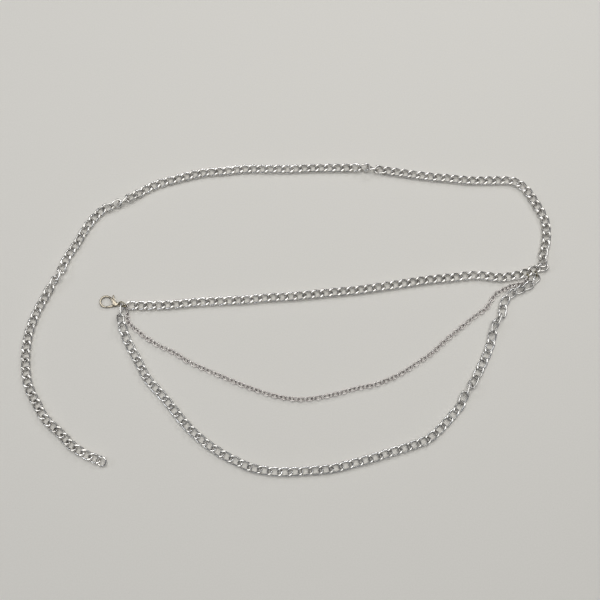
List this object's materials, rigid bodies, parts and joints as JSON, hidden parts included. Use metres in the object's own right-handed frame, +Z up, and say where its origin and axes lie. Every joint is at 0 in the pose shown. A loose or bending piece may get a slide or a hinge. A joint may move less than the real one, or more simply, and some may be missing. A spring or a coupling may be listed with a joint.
{
  "type": "waist chain",
  "caption": "Unfastened curb-link waist chain with a lobster clasp, an end ring and two lighter hanging swags, lying flat.",
  "frame": {"origin": "middle of the lying chain's outline, on the surface it lies on", "axes": "+X along the straight row from the clasp to the corner, +Y away from the viewer, +Z up from the surface"},
  "size_m": [0.4566, 0.2761, 0.0085],
  "materials": {
    "main_chain": "bright polished nickel plate",
    "curb_swag": "polished nickel plate",
    "rolo_swag": "darker tumbled plate",
    "jump_rings": "dark olive nickel",
    "clasp": "warm cast nickel, soft polish"
  },
  "bodies": {
    "chain": {"main_chain_row": "main_chain", "main_chain_loop": "main_chain", "end_ring": "main_chain", "curb_swag": "curb_swag", "rolo_swag": "rolo_swag", "clasp_jump_ring": "jump_rings", "chain_jump_ring": "jump_rings", "rolo_jump_ring": "jump_rings", "swag_jump_ring": "jump_rings", "clasp_body": "clasp", "clasp_pin": "clasp"},
    "lever": {"clasp_lever": "clasp"}
  },
  "joints": [
    {"name": "clasp_lever_hinge", "type": "hinge", "parent": "chain", "child": "lever", "pos_m": [-0.151, 0.00727, 0.0014], "axis": [0, 0, -1], "range_deg": [0, 22], "stiffness_Nm_per_rad": 0.02}
  ]
}
